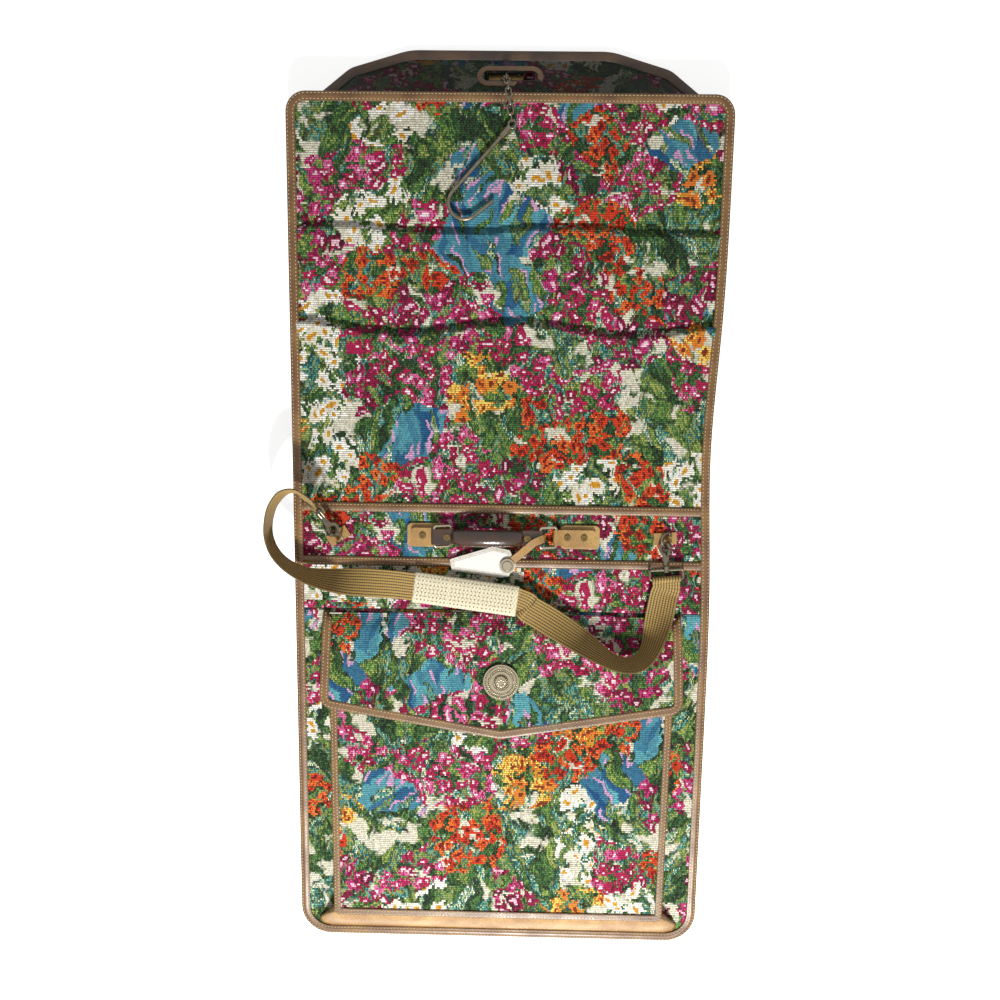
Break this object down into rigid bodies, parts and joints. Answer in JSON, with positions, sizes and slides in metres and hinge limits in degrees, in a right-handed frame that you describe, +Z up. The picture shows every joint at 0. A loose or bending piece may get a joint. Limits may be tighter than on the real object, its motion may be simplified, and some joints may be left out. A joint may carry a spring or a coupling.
{
  "type": "folding garment bag, opened out flat",
  "caption": "Folding garment bag opened out flat, tapestry cloth with leather binding, flap pocket, carry handle, shoulder strap and hanging hook",
  "frame": {"origin": "Centre of the back panel's resting face, under the middle of the bag's face", "axes": "+Y toward the end with the hanging hook, +Z up out of the face with the pocket, +X to the right of someone facing the pocket with the hook end up"},
  "size_m": [0.5876, 1.202, 0.0956],
  "materials": {
    "tapestry": "woven tapestry of flowers and leaves, slightly ribbed",
    "binding_leather": "brown leather with two rows of stitching",
    "plate_leather": "tan leather with stitched borders",
    "grip_leather": "dark brown rolled leather, glossy",
    "nickel": "nickel plated metal, slightly warm",
    "dark_metal": "darkened metal",
    "zip_tape": "woven tape with moulded teeth",
    "webbing": "gold ribbed webbing",
    "label_cloth": "cream woven cloth",
    "tag_leather": "very pale leather",
    "clear_window": "clear film window"
  },
  "bodies": {
    "bag": {"back_binding": "binding_leather", "back_panel": "tapestry", "base_rivets": "dark_metal", "bottom_gusset": "tapestry", "chape_left": "plate_leather", "chape_right": "plate_leather", "d_ring_left": "nickel", "d_ring_right": "nickel", "flap": "tapestry", "flap_binding": "binding_leather", "front_binding": "binding_leather", "front_centre_panel": "tapestry", "front_lower_panel": "tapestry", "front_upper_panel": "tapestry", "handle_loop_left": "plate_leather", "handle_loop_right": "plate_leather", "handle_panel": "tapestry", "handle_plate_left": "plate_leather", "handle_plate_right": "plate_leather", "hanger_bracket": "dark_metal", "hanger_chain": "nickel", "hanger_swivel": "nickel", "lower_strip": "binding_leather", "medallion": "nickel", "pocket_binding": "binding_leather", "pocket_bottom_gusset": "binding_leather", "pocket_front": "tapestry", "pocket_side_left": "tapestry", "pocket_side_right": "tapestry", "shoulder_strap": "webbing", "side_gusset_left": "tapestry", "side_gusset_right": "tapestry", "slit_welt": "binding_leather", "snap_hook_left": "nickel", "snap_hook_right": "nickel", "snap_socket": "nickel", "snap_stud": "nickel", "strap_eye_left": "nickel", "strap_eye_right": "nickel", "strap_label": "label_cloth", "top_gusset": "tapestry", "upper_strip": "binding_leather", "zip_stops": "nickel", "zip_tapes": "zip_tape"},
    "ring_right": {"handle_ring_right": "nickel"},
    "ring_left": {"handle_ring_left": "nickel"},
    "grip": {"handle_grip": "grip_leather", "grip_rivets": "dark_metal", "tag_body": "tag_leather", "tag_window": "clear_window", "tag_strap": "plate_leather", "tag_snap": "nickel"},
    "hook": {"hanger_hook": "nickel"},
    "gate_left": {"snap_gate_left": "nickel"},
    "gate_right": {"snap_gate_right": "nickel"},
    "zip_pull_body": {"zip_slider": "nickel", "zip_pull": "nickel"}
  },
  "joints": [
    {"name": "right_ring_swing", "type": "hinge", "parent": "bag", "child": "ring_right", "pos_m": [0.07, 0.012, 0.0482], "axis": [0, 1, 0], "range_deg": [0, 130]},
    {"name": "grip_swing", "type": "hinge", "parent": "ring_right", "child": "grip", "pos_m": [0.04908, 0.012, 0.055], "axis": [0, 1, 0], "range_deg": [-130, 0]},
    {"name": "left_ring_swing", "type": "hinge", "parent": "bag", "child": "ring_left", "pos_m": [-0.07, 0.012, 0.0482], "axis": [0, 1, 0], "range_deg": [0, 130]},
    {"name": "hook_swivel", "type": "hinge", "parent": "bag", "child": "hook", "pos_m": [-0.01004, 0.51632, 0.04639], "axis": [-0.673, -0.7396, 0], "range_deg": [0, 180]},
    {"name": "gate_left_pivot", "type": "hinge", "parent": "bag", "child": "gate_left", "pos_m": [-0.23286, 0.02609, 0.05982], "axis": [0.6958, 0.1064, 0.7103], "range_deg": [0, 14], "stiffness_Nm_per_rad": 0.02, "springref_deg": -9.74},
    {"name": "gate_right_pivot", "type": "hinge", "parent": "bag", "child": "gate_right", "pos_m": [0.21739, -0.01114, 0.05439], "axis": [-0.6416, -0.0386, 0.766], "range_deg": [0, 14], "stiffness_Nm_per_rad": 0.02, "springref_deg": -9.74},
    {"name": "zip_travel", "type": "slide", "parent": "bag", "child": "zip_pull_body", "axis": [0, -1, 0], "range_m": [0, 0.923]}
  ],
  "couplings": [
    {"joint": "grip_swing", "follows": "right_ring_swing", "ratio": -1},
    {"joint": "left_ring_swing", "follows": "right_ring_swing", "ratio": 1}
  ]
}
